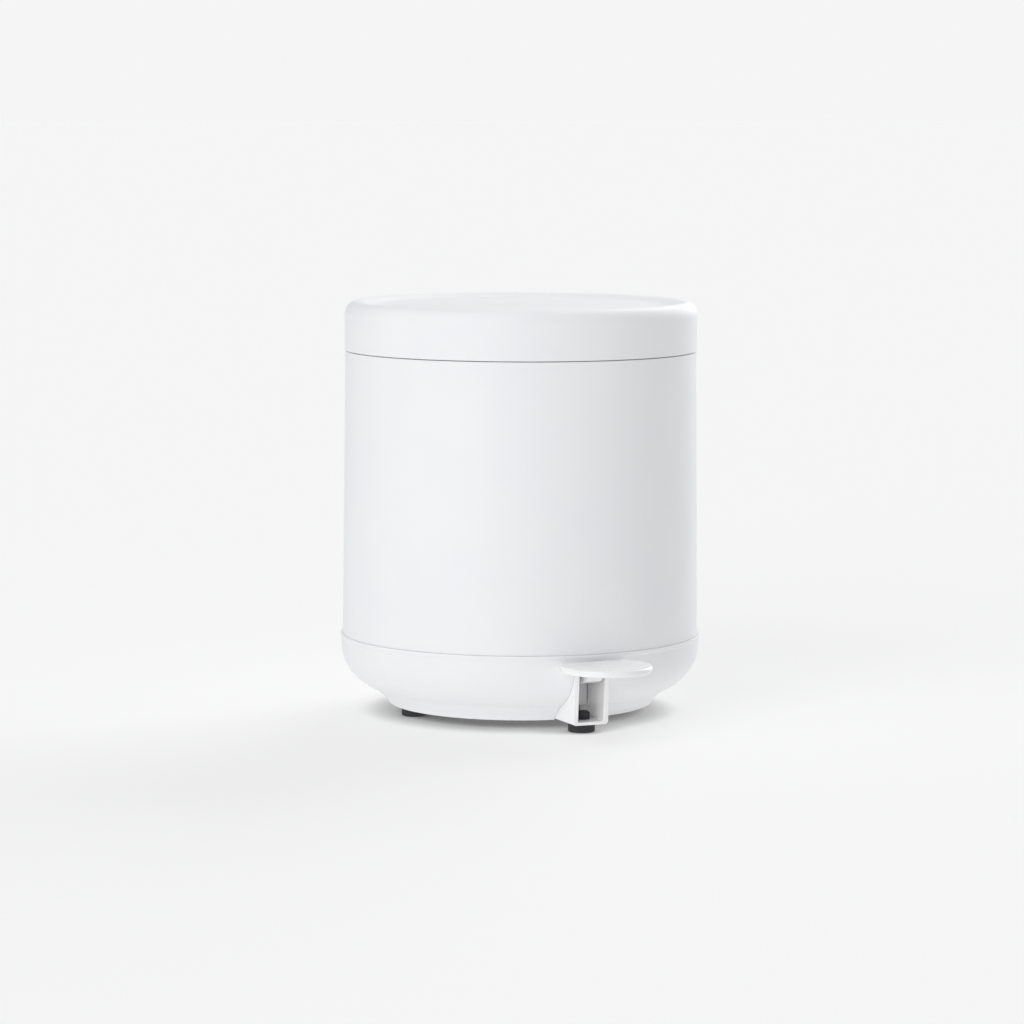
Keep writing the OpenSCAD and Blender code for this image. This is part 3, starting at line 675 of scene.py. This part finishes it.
def make_light(name, azimuth, elevation, strength, spread):
    """Large softbox far away: its direction, its strength, and how many degrees wide it looks."""
    data = bpy.data.lights.new(name, "SUN")
    data.energy, data.angle = strength, math.radians(spread)
    light = bpy.data.objects.new(name, data)
    bpy.context.scene.collection.objects.link(light)
    light.rotation_euler = (-toward(azimuth, elevation)).to_track_quat("-Z", "Y").to_euler()


# How far the painted contact shadow around the bin reaches on the floor board, in metres
PAINTED_SHADOW_REACH = 0.022
BOARD_COLOUR = (0.45, 0.45, 0.45, 1)
BOARD_GLOW = 0.49


def floor_board(tree, place):
    """Pale board that glows evenly. An ambient occlusion node paints a contact shadow on it: the camera sees its
    colour and its glow fade where the board is closed in within the painted shadow's reach, as under the bin,
    while the bin is lit by the even board."""
    # Painted shadow: ambient occlusion darkens the board's colour and glow where it is closed in, for camera rays
    # only
    painted_shadow_occlusion = add(tree, "AmbientOcclusion", {"Distance": PAINTED_SHADOW_REACH})
    ramp = add(tree, "ValToRGB", {"Fac": (painted_shadow_occlusion, "AO")})
    stops = ramp.color_ramp.elements
    stops[0].position, stops[0].color = 0.0, (0, 0, 0, 1)
    stops[1].position, stops[1].color = 0.55, (1, 1, 1, 1)
    middle = stops.new(0.1)
    middle.color = (0.4, 0.4, 0.4, 1)
    path = add(tree, "LightPath")
    # A colour Mix node's factor is input 0, its two colours are 6 and 7, and its result is output 2
    painted_shadow_tone = add(tree, "Mix", {0: (path, "Is Camera Ray"), 6: (1, 1, 1, 1), 7: (ramp, "Color")},
               data_type="RGBA")
    base = add(tree, "Mix", {0: (painted_shadow_tone, 2), 6: (0, 0, 0, 1), 7: BOARD_COLOUR}, data_type="RGBA")
    return {"Base Color": (base, 2), "Emission Color": (painted_shadow_tone, 2)}


def make_studio():
    """Pale floor, an even backdrop in the same tone, and soft lights around the bin."""
    scene = bpy.context.scene
    scene.view_settings.view_transform = "Standard"
    scene.world = bpy.data.worlds.new("studio")
    scene.world.use_nodes = True
    tree = scene.world.node_tree
    tree.nodes.clear()
    path = add(tree, "LightPath")
    backdrop = add(tree, "Background", {"Color": linear("#f5f5f5"), "Strength": 1.0})
    ambient = add(tree, "Background", {"Color": linear("#fbfcff"), "Strength": 0.25})
    both = add(tree, "MixShader", {0: (path, "Is Camera Ray"), 1: (ambient, "Background"),
                                   2: (backdrop, "Background")})
    add(tree, "OutputWorld", {"Surface": (both, "Shader")})

    mesh = bpy.data.meshes.new("floor")
    mesh.from_pydata([(-30, -30, 0), (30, -30, 0), (30, 30, 0), (-30, 30, 0)], [], [(0, 1, 2, 3)])
    mesh.materials.append(material("matt_floor_board", floor_board, Roughness=1.0, Specular_IOR_Level=0.0,
                                   Emission_Strength=BOARD_GLOW))
    floor = bpy.data.objects.new("floor", mesh)
    scene.collection.objects.link(floor)
    make_light("key_box", -30, 22, 1.09, 45)
    make_light("fill_box", -60, 55, 0.35, 45)
    make_light("overhead_box", 90, 90, 0.68, 50)
    make_light("rim_box", 120, 22, 0.19, 45)
    make_light("back_box", 150, 22, 1.65, 45)
    make_light("high_back_box", 180, 55, 0.17, 45)


make_camera()
make_lid()
make_shell()
make_bowl()
make_pedal()
make_channel()
make_feet()
make_handle()
make_eased()
make_studio()
